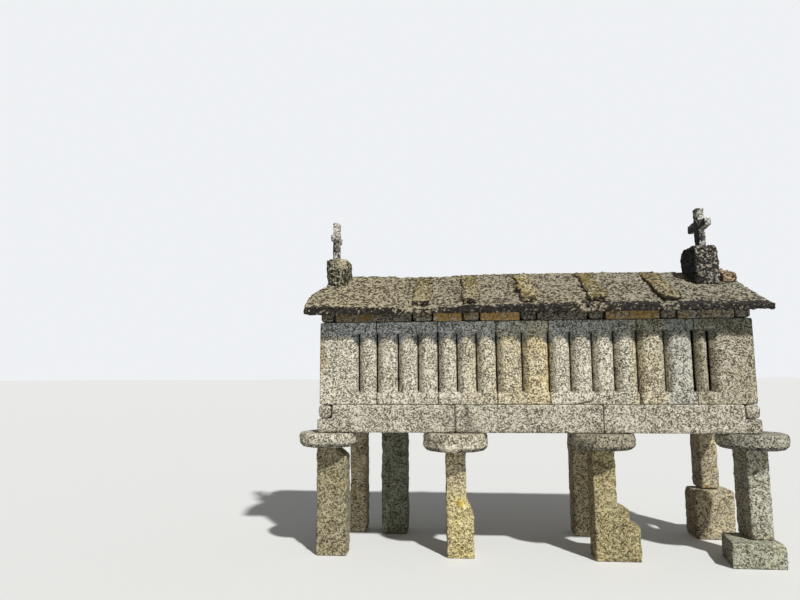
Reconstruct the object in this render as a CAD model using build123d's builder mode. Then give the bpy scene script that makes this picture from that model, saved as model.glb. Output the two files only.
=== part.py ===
# Raised granary of dry-laid granite, in millimetres
# X runs along the chamber, -Y is the front, +Z is up, and Z = 0 is the lowest ground at its feet
import os
from math import cos, radians, tan

from build123d import *

os.makedirs("parts", exist_ok=True)

# Chamber walls, left to right as seen from the front: each row is one slab and its slat widths
SLAT_WIDTHS = [
    [534, 250],
    [290, 270, 273],
    [256, 262, 267],
    [341, 351],
    [282, 286, 283, 298],
    [353, 367],
    [192, 545],
]
SLIT_WIDTHS = [16, 16, 16, 16, 16, 16, 36]
WALL_WIDTH = 1700
SLAB_THICKNESS = 130
SLAB_HEIGHT = 1117
FOOT_BAND = 170
HEAD_BAND = 158
MOUTH_WIDTH = 105
MOUTH_DEPTH = 70
SPLAY_END = 24
SLAB_EDGE = 6
GABLE_SLATS = 6
GABLE_SLIT = 20

# Sill ring
SILL_BOTTOM = 1620
SILL_HEIGHT = 372
SILL_WIDTH = 330
SILL_PROUD = 18
SILL_LENGTHS = [1858, 1927]
SILL_EDGE = 10
END_SILL_WIDTH = 200
END_SILL_PROUD = 25
LAP_HEIGHT = 186

# Floor of the chamber
FLOOR_THICKNESS = 100
FLOOR_SLABS = 6
FLOOR_JOINT = 8

# Door in the right gable
DOOR_WIDTH = 560
DOOR_THICKNESS = 45
DOOR_SET_BACK = 40
DOOR_BOARDS = 3
DOOR_GROOVE = 8
DOOR_CLEARANCE = 3
LEDGE_HEIGHT = 110
LEDGE_THICKNESS = 30
LEDGE_INSET = 150

# Top course: cross ties with stretchers between them
TIE_WIDTHS = [204, 281, 233, 218, 231, 221, 209]
STRETCHER_LENGTHS = [1066, 405, 541, 665, 703]
TOP_COURSE_HEIGHT = 202
STRETCHER_WIDTH = 250
COURSE_EDGE = 5
GABLE_TOP_THICKNESS = 160

# Roof
ROOF_PITCH = 28.5
ROOF_THICKNESS = 90
EAVE_OVERHANG = 250
END_OVERHANG = 180
ROOF_JOINT = 8
EAVE_ROUNDING = 14
RIGHT_VERGE_LEAN = 170
LEFT_BREAK_WIDTH = 160
LEFT_BREAK_REACH = 430
LEFT_BREAK_SLANT = 70
STRIP_WIDTH = 260
STRIP_SHORT_OF_EAVE = 60
STRIP_FOOT_THICKNESS = 95
STRIP_RIDGE_THICKNESS = 35
STRIP_EDGE = 18
# How far the roof's upper face lies over its plain level at the left end, each joint and the right
# end, where the slabs have settled unevenly
ROOF_LIFTS = [32, -18, 4, 12, 8, -4, -16]

# Cross bases on the ridge: place from the wall's left end, width, reach in front of the ridge line
# and behind it, height over the ridge
LEFT_BASE = (145, 340, 440, 40, 215)
RIGHT_BASE = (5335, 370, 475, 20, 290)
LEFT_BASE_ROUNDING = 120
RIGHT_BASE_ROUNDING = 60
BASE_CROWN_EDGE = 40

# Small stone on the roof's right end: place, width, reach from the ridge, thickness at its foot
# and at the ridge
RIDGE_END_STONE = (5660, 190, 400, 120, 20)

# Crosses: place from the wall's left end, how far in front of the ridge line, height, shaft width,
# thickness, arm level, arm span
LEFT_CROSS = (93, 160, 588, 105, 105, 331, 420)
RIGHT_CROSS = (5355, 250, 559, 135, 115, 316, 575)
CROSS_FLARE = 1.15
CROSS_EDGE = 12

# Front pillars, left to right, with their round caps
PILLAR_WIDTHS = [286, 290, 320, 300]
PILLAR_DEPTHS = [340, 330, 360, 430]
PILLAR_SET_BACK = 80
PILLAR_EDGE = 18
LEFT_PILLAR_INSET = 83
RIGHT_PILLAR_INSET = 20
CAP_DIAMETERS = [849, 900, 884, 877]
CAP_THICKNESSES = [190, 240, 210, 200]
CAP_SET_BACK = 205
CAP_TOP_EDGE = 30
CAP_UNDER_WIDTH = 60
CAP_UNDER_HEIGHT = 50
LEFT_CAP_INSET = 105
RIGHT_CAP_INSET = 28

# How a pillar spreads to the right below its head: reach, height and rise of each shoulder
FIRST_PILLAR_TOES = [(145, 1290, 120)]
SECOND_PILLAR_TOES = [(95, 530, 230)]
THIRD_PILLAR_TOES = [(150, 640, 60), (280, 430, 50)]

# Back pillars, left to right, which meet the sill with no cap
BACK_PILLAR_WIDTHS = [280, 420, 290, 400, 290]
BACK_PILLAR_DEPTHS = [360, 420, 340, 380, 380]
BACK_PILLAR_SET_BACK = 60
CORNER_PILLAR_INSET = 340
MIDDLE_PILLAR_INSET = 900
LAST_PILLAR_INSET = 150

# Plinth stones under the right-hand pillars: width, depth, height, how far it stands out in front
# of the pillar, and shift along the wall
FRONT_PLINTH = (680, 620, 300, 180, -140)
BACK_PLINTH = (590, 440, 700, 60, 25)
PLINTH_EDGE = 30

# Lengths and levels worked out from the driving dimensions
wall_length = sum(sum(slats) for slats in SLAT_WIDTHS)
left_reach = CAP_DIAMETERS[0] / 2 - LEFT_CAP_INSET
right_reach = CAP_DIAMETERS[-1] / 2 - RIGHT_CAP_INSET
wall_left = left_reach - (left_reach + wall_length + right_reach) / 2
wall_right = wall_left + wall_length
wall_face = WALL_WIDTH / 2
inner_face = wall_face - SLAB_THICKNESS
sill_top = SILL_BOTTOM + SILL_HEIGHT
slab_top = sill_top + SLAB_HEIGHT
course_top = slab_top + TOP_COURSE_HEIGHT
roof_slope = tan(radians(ROOF_PITCH))
roof_rise = ROOF_THICKNESS / cos(radians(ROOF_PITCH))
eave_reach = wall_face + EAVE_OVERHANG
first_joint = wall_left - END_SILL_PROUD + SILL_LENGTHS[0]
second_joint = first_joint + SILL_LENGTHS[1]


def roof_underside(y):
    """Height of the roof's underside at a distance from the ridge line."""
    return course_top + (wall_face - abs(y)) * roof_slope


def roof_top(y):
    """Height of the roof's upper face at a distance from the ridge line."""
    return roof_underside(y) + roof_rise


def save(part, name):
    """Label one finished piece and write its file."""
    part.label = name
    export_step(part, f"parts/{name}.step")


def save_both_sides(part, name):
    """Write a piece for the front and its twin for the back."""
    save(part, f"front_{name}")
    with BuildPart() as twin:
        mirror(part, about=Plane.XZ)
    save(twin.part, f"back_{name}")


def make_grooves(outer, slits):
    """The cutter for a slab's slits, whose mouths widen in arcs and splayed ends."""
    low = sill_top + FOOT_BAND
    high = sill_top + SLAB_HEIGHT - HEAD_BAND
    places = [place for place, _ in slits]
    reach = max(width for _, width in slits) / 2 + MOUTH_WIDTH
    first = outer.from_local_coords(Vector(places[0] - reach, 0, 0))
    plan = Plane(
        origin=outer.from_local_coords(Vector(0, low - SPLAY_END, 0)),
        x_dir=outer.x_dir,
        z_dir=outer.y_dir,
    )
    side = Plane(origin=first, x_dir=outer.z_dir * -1, z_dir=outer.x_dir)
    with BuildPart() as grooves:
        with BuildSketch(plan):
            for place, width in slits:
                half = width / 2
                outside = half + MOUTH_WIDTH
                with BuildLine():
                    TangentArc(
                        (place - outside, 0), (place - half, MOUTH_DEPTH), tangent=(1, 0)
                    )
                    Line((place - half, MOUTH_DEPTH), (place - half, SLAB_THICKNESS))
                    Line((place - half, SLAB_THICKNESS), (place + half, SLAB_THICKNESS))
                    Line((place + half, SLAB_THICKNESS), (place + half, MOUTH_DEPTH))
                    TangentArc(
                        (place + outside, 0), (place + half, MOUTH_DEPTH), tangent=(-1, 0)
                    )
                    Line((place + outside, 0), (place - outside, 0))
                make_face()
        extrude(amount=high - low + 2 * SPLAY_END)
        with BuildSketch(side):
            with BuildLine():
                Polyline(
                    (0, low - SPLAY_END),
                    (MOUTH_DEPTH, low),
                    (SLAB_THICKNESS, low),
                    (SLAB_THICKNESS, high),
                    (MOUTH_DEPTH, high),
                    (0, high + SPLAY_END),
                    close=True,
                )
            make_face()
        extrude(amount=places[-1] - places[0] + 2 * reach, mode=Mode.INTERSECT)
    return grooves.part


def make_slab(outer, left, right, slits):
    """One upright wall slab on its outer plane, cut by slits at (place, width)."""
    grooves = make_grooves(outer, slits) if slits else None
    with BuildPart() as slab:
        with BuildSketch(outer):
            with Locations(((left + right) / 2, sill_top + SLAB_HEIGHT / 2)):
                Rectangle(right - left, SLAB_HEIGHT)
        extrude(amount=-SLAB_THICKNESS)
        chamfer(slab.faces().sort_by(Axis(outer.origin, outer.z_dir))[-1].edges(), SLAB_EDGE)
        if grooves:
            add(grooves, mode=Mode.SUBTRACT)
    return slab.part


def make_side_wall(side, outer, left):
    """The slotted slabs of one long side, with a slit at each joint between them."""
    for number, slats in enumerate(SLAT_WIDTHS, start=1):
        width = SLIT_WIDTHS[number - 1]
        edge = left
        slits = [(left, width)] if number > 1 else []
        for slat in slats[:-1]:
            edge += slat
            slits.append((edge, width))
        right = edge + slats[-1]
        if number < len(SLAT_WIDTHS):
            slits.append((right, SLIT_WIDTHS[number]))
        save(make_slab(outer, left, right, slits), f"{side}_slab_{number}")
        left = right


def make_left_gable():
    """Two slotted slabs that close the left end between the side walls."""
    outer = Plane(origin=(wall_left, 0, 0), x_dir=(0, -1, 0), z_dir=(-1, 0, 0))
    slat = 2 * inner_face / GABLE_SLATS
    edges = [slat * index - inner_face for index in range(GABLE_SLATS + 1)]
    half = GABLE_SLATS // 2
    for number, places in enumerate((edges[: half + 1], edges[half:]), start=1):
        slits = [(place, GABLE_SLIT) for place in places if abs(place) < inner_face - slat / 2]
        save(make_slab(outer, places[0], places[-1], slits), f"left_gable_slab_{number}")


def make_right_gable():
    """Two plain jamb slabs with the doorway between them."""
    outer = Plane(origin=(wall_right, 0, 0), x_dir=(0, 1, 0), z_dir=(1, 0, 0))
    save(make_slab(outer, -inner_face, -DOOR_WIDTH / 2, []), "right_gable_slab_1")
    save(make_slab(outer, DOOR_WIDTH / 2, inner_face, []), "right_gable_slab_2")


def make_door():
    """A boarded door, grooved between its boards, with two ledges on the inside."""
    leaf = Plane(origin=(wall_right - DOOR_SET_BACK, 0, 0), x_dir=(0, 1, 0), z_dir=(1, 0, 0))
    width = DOOR_WIDTH - 2 * DOOR_CLEARANCE
    board = width / DOOR_BOARDS
    with BuildPart() as door:
        with BuildSketch(leaf):
            with Locations((0, sill_top + SLAB_HEIGHT / 2)):
                Rectangle(width, SLAB_HEIGHT)
        extrude(amount=-DOOR_THICKNESS)
        with BuildSketch(leaf):
            for index in range(1, DOOR_BOARDS):
                with Locations((board * index - width / 2, sill_top + SLAB_HEIGHT / 2)):
                    Rectangle(DOOR_GROOVE, SLAB_HEIGHT)
        extrude(amount=-DOOR_GROOVE, mode=Mode.SUBTRACT)
        with BuildSketch(leaf.offset(-DOOR_THICKNESS)):
            for level in (sill_top + FLOOR_THICKNESS + LEDGE_INSET, slab_top - LEDGE_INSET):
                with Locations((0, level)):
                    Rectangle(width, LEDGE_HEIGHT)
        extrude(amount=-LEDGE_THICKNESS)
    save(door.part, "door")


def make_side_sills():
    """Three sill beams a side, notched at the corners for the cross beams."""
    left_end = wall_left - END_SILL_PROUD
    right_end = wall_right + END_SILL_PROUD
    ends = [left_end, first_joint, second_joint, right_end]
    for number in range(1, len(ends)):
        left, right = ends[number - 1], ends[number]
        with BuildPart() as sill:
            with BuildSketch(Plane.XZ.offset(wall_face + SILL_PROUD)):
                with Locations(((left + right) / 2, SILL_BOTTOM + SILL_HEIGHT / 2)):
                    Rectangle(right - left, SILL_HEIGHT)
                for corner, inward in ((left_end, 1), (right_end, -1)):
                    place = (corner + inward * END_SILL_WIDTH / 2, sill_top - LAP_HEIGHT / 2)
                    with Locations(place):
                        Rectangle(END_SILL_WIDTH, LAP_HEIGHT, mode=Mode.SUBTRACT)
            extrude(amount=-SILL_WIDTH)
            chamfer(sill.faces().sort_by(Axis.Y)[0].edges(), SILL_EDGE)
        save_both_sides(sill.part, f"sill_{number}")


def make_end_sills():
    """A cross beam at each end, whose upper half laps over the side sills to the face."""
    inside = wall_face + SILL_PROUD - SILL_WIDTH
    outside = wall_face + SILL_PROUD
    for name, outer_end, inward in (
        ("left_end_sill", wall_left - END_SILL_PROUD, 1),
        ("right_end_sill", wall_right + END_SILL_PROUD, -1),
    ):
        with BuildPart() as sill:
            with BuildSketch(Plane.YZ.offset(outer_end)):
                with Locations((0, sill_top - LAP_HEIGHT / 2)):
                    Rectangle(2 * outside, LAP_HEIGHT)
                with Locations((0, SILL_BOTTOM + SILL_HEIGHT / 2)):
                    Rectangle(2 * inside, SILL_HEIGHT)
            extrude(amount=inward * END_SILL_WIDTH)
            for face in (sill.faces().sort_by(Axis.Y)[0], sill.faces().sort_by(Axis.Y)[-1]):
                chamfer(face.edges(), SILL_EDGE)
        save(sill.part, name)


def make_floor():
    """Floor slabs that span from sill to sill inside the walls."""
    left = wall_left + SLAB_THICKNESS
    length = (wall_length - 2 * SLAB_THICKNESS - (FLOOR_SLABS - 1) * FLOOR_JOINT) / FLOOR_SLABS
    with BuildPart() as floor:
        for index in range(FLOOR_SLABS):
            middle = left + length / 2 + index * (length + FLOOR_JOINT)
            with BuildSketch(Plane.XY.offset(sill_top)):
                with Locations((middle, 0)):
                    Rectangle(length, 2 * inner_face)
            extrude(amount=FLOOR_THICKNESS)
    save(floor.part, "floor_slabs")


def tie_spans():
    """Left and right edges of each cross tie, the last one flush with the wall's end."""
    spans = []
    left = wall_left
    for width, stretcher in zip(TIE_WIDTHS, STRETCHER_LENGTHS + [0]):
        spans.append((left, left + width))
        left += width + stretcher
    spans.append((wall_right - TIE_WIDTHS[-1], wall_right))
    return spans


def make_ties(spans):
    """Cross ties over the full width, bevelled on top to carry the roof slabs."""
    inner = wall_face - STRETCHER_WIDTH
    with BuildPart() as ties:
        for left, right in spans:
            with BuildSketch(Plane.YZ.offset(left)):
                with BuildLine():
                    Polyline(
                        (-wall_face, slab_top),
                        (-wall_face, course_top),
                        (-inner, roof_underside(inner)),
                        (inner, roof_underside(inner)),
                        (wall_face, course_top),
                        (wall_face, slab_top),
                        close=True,
                    )
                make_face()
            extrude(amount=right - left)
        for faces in (ties.faces().group_by(Axis.Y)[0], ties.faces().group_by(Axis.Y)[-1]):
            chamfer(faces.edges(), COURSE_EDGE)
    save(ties.part, "tie_stones")


def make_stretchers(spans):
    """Stretcher stones between the ties, with the same bevelled top."""
    inner = wall_face - STRETCHER_WIDTH
    with BuildPart() as stretchers:
        for (_, left), (right, _) in zip(spans, spans[1:]):
            with BuildSketch(Plane.YZ.offset(left)):
                with BuildLine():
                    Polyline(
                        (-wall_face, slab_top),
                        (-wall_face, course_top),
                        (-inner, roof_underside(inner)),
                        (-inner, slab_top),
                        close=True,
                    )
                make_face()
            extrude(amount=right - left)
        chamfer(stretchers.faces().group_by(Axis.Y)[0].edges(), COURSE_EDGE)
    save_both_sides(stretchers.part, "stretchers")


def make_gable_tops():
    """The three-cornered stone that closes each gable over its end tie."""
    inner = wall_face - STRETCHER_WIDTH
    right_face = wall_right - GABLE_TOP_THICKNESS
    for name, face in (("left_gable_top", wall_left), ("right_gable_top", right_face)):
        with BuildPart() as top:
            with BuildSketch(Plane.YZ.offset(face)):
                with BuildLine():
                    Polyline(
                        (-inner, roof_underside(inner)),
                        (0, roof_underside(0)),
                        (inner, roof_underside(inner)),
                        close=True,
                    )
                make_face()
            extrude(amount=GABLE_TOP_THICKNESS)
        save(top.part, name)


def make_verge_cutter():
    """What is missing at the roof's ends: a broken corner on the left, a lean on the right."""
    left, right = wall_left - END_OVERHANG, wall_right + END_OVERHANG
    inside = left + LEFT_BREAK_WIDTH
    with BuildPart() as cutter:
        with BuildSketch():
            with BuildLine():
                Polyline(
                    (left, 0),
                    (left, -LEFT_BREAK_REACH - LEFT_BREAK_SLANT),
                    (inside, -LEFT_BREAK_REACH),
                    (inside, 0),
                    close=True,
                )
            make_face()
            with BuildLine():
                Polyline(
                    (right - RIGHT_VERGE_LEAN, 0), (right, -eave_reach), (right, 0), close=True
                )
            make_face()
        extrude(amount=roof_top(0) + STRIP_FOOT_THICKNESS)
    return cutter.part


def make_slope(joints):
    """The front slope in one piece, its upper face leaning from each joint to the next."""
    ends = [wall_left - END_OVERHANG] + joints + [wall_right + END_OVERHANG]
    up_slope = Vector(0, 1, roof_slope)
    with BuildPart() as slope:
        for index in range(len(joints) + 1):
            left, right = ends[index], ends[index + 1]
            left_lift, right_lift = ROOF_LIFTS[index], ROOF_LIFTS[index + 1]
            along = Vector(right - left, 0, right_lift - left_lift)
            ridge = (left, 0, roof_top(0) + left_lift)
            with BuildPart(mode=Mode.PRIVATE) as bay:
                with BuildSketch(Plane.YZ.offset(left)):
                    with BuildLine():
                        Polyline(
                            (-eave_reach, roof_underside(eave_reach)),
                            (0, roof_underside(0)),
                            (0, roof_top(0) + ROOF_THICKNESS),
                            (-eave_reach, roof_top(eave_reach) + ROOF_THICKNESS),
                            close=True,
                        )
                    make_face()
                extrude(amount=right - left)
                upper = Plane(origin=ridge, x_dir=along, z_dir=along.cross(up_slope))
                split(bisect_by=upper, keep=Keep.BOTTOM)
            add(bay.part)
    return slope.part


def make_roof_slabs(slope, joints, cutter):
    """Thick roof slabs, one a bay, which lean on their twins along the ridge."""
    with BuildPart() as roof:
        add(slope)
        with Locations(*((joint, -eave_reach / 2, roof_top(0)) for joint in joints)):
            Box(ROOF_JOINT, eave_reach, roof_top(0), mode=Mode.SUBTRACT)
        eave_edges = roof.edges().group_by(Axis.Y)[0].filter_by(Axis.Z, reverse=True)
        fillet(eave_edges, EAVE_ROUNDING)
        add(cutter, mode=Mode.SUBTRACT)
    save_both_sides(roof.part, "roof_slabs")


def make_cover_strips(slope, joints):
    """Raised strips over the joints of the roof, thickest at their lower end."""
    foot = eave_reach - STRIP_SHORT_OF_EAVE
    with BuildPart() as strips:
        for joint, lift in zip(joints, ROOF_LIFTS[1:]):
            with BuildSketch(Plane.YZ.offset(joint - STRIP_WIDTH / 2)):
                with BuildLine():
                    Polyline(
                        (-foot, roof_underside(foot)),
                        (0, roof_underside(0)),
                        (0, roof_top(0) + lift + STRIP_RIDGE_THICKNESS),
                        (-foot, roof_top(foot) + lift + STRIP_FOOT_THICKNESS),
                        close=True,
                    )
                make_face()
            extrude(amount=STRIP_WIDTH)
        upper = strips.edges().filter_by(Axis.X, reverse=True).group_by(SortBy.LENGTH)[-1]
        chamfer(upper, STRIP_EDGE)
        add(slope, mode=Mode.SUBTRACT)
    save_both_sides(strips.part, "cover_strips")


def make_ridge_end_stone(slope, cutter):
    """A small wedge of stone on the front slope at the roof's right end."""
    place, width, reach, foot_thickness, ridge_thickness = RIDGE_END_STONE
    with BuildPart() as stone:
        with BuildSketch(Plane.YZ.offset(wall_left + place - width / 2)):
            with BuildLine():
                Polyline(
                    (-reach, roof_underside(reach)),
                    (0, roof_underside(0)),
                    (0, roof_top(0) + ridge_thickness),
                    (-reach, roof_top(reach) + foot_thickness),
                    close=True,
                )
            make_face()
        extrude(amount=width)
        upper = stone.edges().filter_by(Axis.X, reverse=True).group_by(SortBy.LENGTH)[-1]
        chamfer(upper, STRIP_EDGE)
        add(slope, mode=Mode.SUBTRACT)
        add(cutter, mode=Mode.SUBTRACT)
    save(stone.part, "ridge_end_stone")


def make_cross_base(slope, name, sizes, rounding):
    """A block notched underneath to sit over the ridge, most of it on the front slope."""
    place, width, front, back, height = sizes
    crown = roof_top(0) + height
    with BuildPart() as stone:
        with BuildSketch(Plane.YZ.offset(wall_left + place - width / 2)):
            with BuildLine():
                Polyline(
                    (-front, roof_underside(front)),
                    (0, roof_underside(0)),
                    (back, roof_underside(back)),
                    (back, crown),
                    (-front, crown),
                    close=True,
                )
            make_face()
        extrude(amount=width)
        fillet(stone.edges().filter_by(Axis.Z), rounding)
        chamfer(stone.faces().sort_by(Axis.Z)[-1].edges(), BASE_CROWN_EDGE)
        add(slope, mode=Mode.SUBTRACT)
        add(mirror(slope, about=Plane.XZ), mode=Mode.SUBTRACT)
    save(stone.part, name)


def make_cross(name, sizes, base):
    """A stone cross with flared ends, its arms across the ridge."""
    place, forward, height, shaft, thickness, arm_level, span = sizes
    foot = roof_top(0) + base[-1]
    flare = shaft * CROSS_FLARE / 2
    level = foot + arm_level
    head = foot + height
    with BuildPart() as cross:
        with BuildSketch(Plane.YZ.offset(wall_left + place - thickness / 2)):
            with BuildLine():
                half = [
                    (flare, head),
                    (shaft / 2, level + shaft / 2),
                    (span / 2, level + flare),
                    (span / 2, level - flare),
                    (shaft / 2, level - shaft / 2),
                    (flare, foot),
                ]
                far_side = [(y - forward, z) for y, z in half]
                near_side = [(-y - forward, z) for y, z in reversed(half)]
                Polyline(*far_side, *near_side, close=True)
            make_face()
        extrude(amount=thickness)
        chamfer(cross.faces().filter_by(Axis.X).edges().filter_by(Axis.Y, reverse=True), CROSS_EDGE)
    save(cross.part, name)


def make_pillar(name, middle, front, width, depth, foot, head, toes=()):
    """An upright pillar stone, whose foot may spread to the right in rough shoulders."""
    left, right = middle - width / 2, middle + width / 2
    outline = [(left, foot), (left, head), (right, head)]
    reach = 0
    for toe_reach, toe_height, rise in toes:
        outline.append((right + reach, toe_height + rise))
        outline.append((right + toe_reach, toe_height))
        reach = toe_reach
    outline.append((right + reach, foot))
    with BuildPart() as pillar:
        with BuildSketch(Plane.XZ.offset(-front)):
            with BuildLine():
                Polyline(*outline, close=True)
            make_face()
        extrude(amount=-depth)
        chamfer(pillar.edges().filter_by(Axis.Z), PILLAR_EDGE)
    save(pillar.part, name)


def make_plinth(name, middle, front, sizes):
    """A squared plinth stone with worn upper edges."""
    width, depth, height, proud, shift = sizes
    with BuildPart() as plinth:
        with BuildSketch():
            with Locations((middle + shift, front - proud + depth / 2)):
                Rectangle(width, depth)
        extrude(amount=height)
        chamfer(plinth.faces().sort_by(Axis.Z)[-1].edges(), PLINTH_EDGE)
    save(plinth.part, name)


def make_cap(name, middle, diameter, thickness):
    """A flat round stone between a pillar and the sill, cut back underneath at its rim."""
    radius = diameter / 2
    under = SILL_BOTTOM - thickness
    centre = Plane(origin=(middle, CAP_SET_BACK - wall_face, 0), x_dir=(1, 0, 0), z_dir=(0, -1, 0))
    with BuildPart() as cap:
        with BuildSketch(centre):
            with BuildLine():
                Polyline(
                    (0, under),
                    (radius - CAP_UNDER_WIDTH, under),
                    (radius, under + CAP_UNDER_HEIGHT),
                    (radius, SILL_BOTTOM - CAP_TOP_EDGE),
                    (radius - CAP_TOP_EDGE, SILL_BOTTOM),
                    (0, SILL_BOTTOM),
                    close=True,
                )
            make_face()
        revolve(axis=Axis((middle, CAP_SET_BACK - wall_face, 0), (0, 0, 1)))
    save(cap.part, name)


def make_front_legs():
    """Front pillars under the ends and the sill joints, each with its cap."""
    joints = [first_joint, second_joint]
    places = [wall_left + LEFT_PILLAR_INSET, *joints, wall_right - RIGHT_PILLAR_INSET]
    cap_places = [wall_left + LEFT_CAP_INSET, *joints, wall_right - RIGHT_CAP_INSET]
    toes = [FIRST_PILLAR_TOES, SECOND_PILLAR_TOES, THIRD_PILLAR_TOES, ()]
    feet = [0, 0, 0, FRONT_PLINTH[2]]
    front = PILLAR_SET_BACK - wall_face
    for index, place in enumerate(places):
        name = index + 1
        width, depth = PILLAR_WIDTHS[index], PILLAR_DEPTHS[index]
        head = SILL_BOTTOM - CAP_THICKNESSES[index]
        make_pillar(f"front_pillar_{name}", place, front, width, depth, feet[index], head, toes[index])
        make_cap(f"front_cap_{name}", cap_places[index], CAP_DIAMETERS[index], CAP_THICKNESSES[index])
    make_plinth("front_plinth", places[-1], front, FRONT_PLINTH)


def make_back_legs():
    """Back pillars, which carry the sill with no cap, the last of them on a plinth stone."""
    last_place = wall_right - LAST_PILLAR_INSET
    last_front = wall_face - BACK_PILLAR_SET_BACK - BACK_PILLAR_DEPTHS[-1]
    corner_place, middle_place = wall_left + CORNER_PILLAR_INSET, wall_left + MIDDLE_PILLAR_INSET
    places = [corner_place, middle_place, first_joint, second_joint, last_place]
    feet = [0, 0, 0, 0, BACK_PLINTH[2]]
    for index, place in enumerate(places):
        width, depth = BACK_PILLAR_WIDTHS[index], BACK_PILLAR_DEPTHS[index]
        front = wall_face - BACK_PILLAR_SET_BACK - depth
        make_pillar(f"back_pillar_{index + 1}", place, front, width, depth, feet[index], SILL_BOTTOM)
    make_plinth("back_plinth", last_place, last_front, BACK_PLINTH)


make_front_legs()
make_back_legs()
make_side_sills()
make_end_sills()
make_floor()
make_side_wall("front", Plane.XZ.offset(wall_face), wall_left)
back_face = Plane(origin=(0, wall_face, 0), x_dir=(-1, 0, 0), z_dir=(0, 1, 0))
make_side_wall("back", back_face, -wall_right)
make_left_gable()
make_right_gable()
make_door()
ties = tie_spans()
make_ties(ties)
make_stretchers(ties)
make_gable_tops()
roof_joints = [(left + right) / 2 for left, right in ties[1:-1]]
verge_cutter = make_verge_cutter()
front_slope = make_slope(roof_joints)
make_roof_slabs(front_slope, roof_joints, verge_cutter)
make_cover_strips(front_slope, roof_joints)
make_ridge_end_stone(front_slope, verge_cutter)
make_cross_base(front_slope, "left_cross_base", LEFT_BASE, LEFT_BASE_ROUNDING)
make_cross_base(front_slope, "right_cross_base", RIGHT_BASE, RIGHT_BASE_ROUNDING)
make_cross("left_cross", LEFT_CROSS, LEFT_BASE)
make_cross("right_cross", RIGHT_CROSS, RIGHT_BASE)
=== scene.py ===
"""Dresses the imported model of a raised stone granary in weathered, lichen-grown granite."""

import math

import bmesh
import bpy
import numpy as np
from bpy.props import FloatProperty, FloatVectorProperty, IntProperty, PointerProperty
from mathutils import Matrix, Vector, noise


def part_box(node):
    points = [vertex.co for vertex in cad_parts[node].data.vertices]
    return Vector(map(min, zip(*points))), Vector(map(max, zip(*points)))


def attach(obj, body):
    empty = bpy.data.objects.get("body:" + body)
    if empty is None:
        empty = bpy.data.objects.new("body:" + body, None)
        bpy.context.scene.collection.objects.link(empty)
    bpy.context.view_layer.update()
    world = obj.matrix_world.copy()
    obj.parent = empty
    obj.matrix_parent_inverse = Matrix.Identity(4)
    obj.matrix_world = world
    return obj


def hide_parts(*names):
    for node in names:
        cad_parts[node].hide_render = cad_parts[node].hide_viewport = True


bl_info = {
    "name": "Raised Stone Granary",
    "version": (1, 0, 0),
    "blender": (4, 5, 0),
    "location": "3D View > Sidebar > Granary",
    "description": "Weathers the stones of a raised granary and stains them with lichen and moss",
    "category": "Object",
}

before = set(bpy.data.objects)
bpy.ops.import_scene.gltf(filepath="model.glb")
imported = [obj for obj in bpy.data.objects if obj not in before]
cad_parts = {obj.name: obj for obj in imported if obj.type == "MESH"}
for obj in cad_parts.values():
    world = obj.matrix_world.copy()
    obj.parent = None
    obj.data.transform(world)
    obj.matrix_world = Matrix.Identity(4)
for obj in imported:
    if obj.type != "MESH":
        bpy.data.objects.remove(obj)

# Where the chamber stands in the row frame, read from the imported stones
WALL_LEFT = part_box("front_slab_1")[0].x
WALL_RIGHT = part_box("front_slab_7")[1].x
WALL_DEPTH = -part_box("front_slab_4")[0].y
SLAB_THICKNESS = WALL_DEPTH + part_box("front_slab_4")[1].y
SLAB_FOOT, SLAB_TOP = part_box("front_slab_4")[0].z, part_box("front_slab_4")[1].z
EAVE_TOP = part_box("front_roof_slabs")[0].z
RIDGE_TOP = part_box("front_roof_slabs")[1].z
ROOF_LEFT, ROOF_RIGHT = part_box("front_roof_slabs")[0].x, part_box("front_roof_slabs")[1].x

# Sizes of the weather's marks on the stone
DENT_SIZE = 0.22
PATCH_SIZE = 0.16
BITE_SIZE = 0.13
LUMP_SIZE = 0.07
KNOB_SIZE = 0.034
CRUMB_SIZE = 0.028
# Mesh steps of the stones that need one of their own
ROOF_STEP = 0.018
STRIP_STEP = 0.016
BACK_STRIP_STEP = 0.024
BASE_STEP = 0.011
CROSS_STEP = 0.009
# How far the wear of an edge differs from place to place
EDGE_UNEVENNESS = 0.6
# Share of the weather's depth that is left on the seats of a stone and on the sides of a slit
SEAT_SHARE = 0.25
SLIT_SHARE = 0.15
# How much further the slats are rounded at their slits, and the crosses' arms thinned at their ends
SLAT_ROUNDING = 0.45
ARM_THINNING = 0.28
# How far out a cross's arms start, and where they reach their least thickness
ARM_ROOT, ARM_THIN = 0.12, 0.22
# How far the front plinth's left side is drawn in at the back
PLINTH_CUT = 0.125
# How far the crust grows into the joints of the roof from either side
JOINT_GROWTH = 0.012
# How far the right base leans in at its crown, and how high over its foot the lean starts
BASE_LEAN, BASE_LEAN_START = 0.02, 0.2
# The roof's broken left end: its depth beside the ridge, how far its slant runs towards the eave,
# and how far from the ridge the slant starts
LEFT_BREAK, LEFT_SLANT, LEFT_REACH = 0.16, 0.32, 0.43
# How far the strips sink at the ridge, and over which height
STRIP_SINK, STRIP_SINK_HEIGHT = 0.035, 0.10
# The photograph's camera: its place in metres, and its yaw, pitch and roll in degrees
CAMERA_PLACE = (-1.0799, -8.9832, 2.4265)
CAMERA_TURN = (-4.972, 6.851, -0.291)
SENSOR_WIDTH = 36.0
VIEW_REACH = 1000.0
# How dense the door boards' fibres are, along X, Y and Z
FIBRE_SCALE = (40.0, 40.0, 2.5)
# Colours of the stage
FLOOR_COLOUR = (0.72, 0.72, 0.70)
BACKDROP_COLOUR = (0.86, 0.88, 0.90)
FILL_COLOUR = (1.0, 1.0, 1.0)


# Sizes and colours that a user would change

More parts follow.
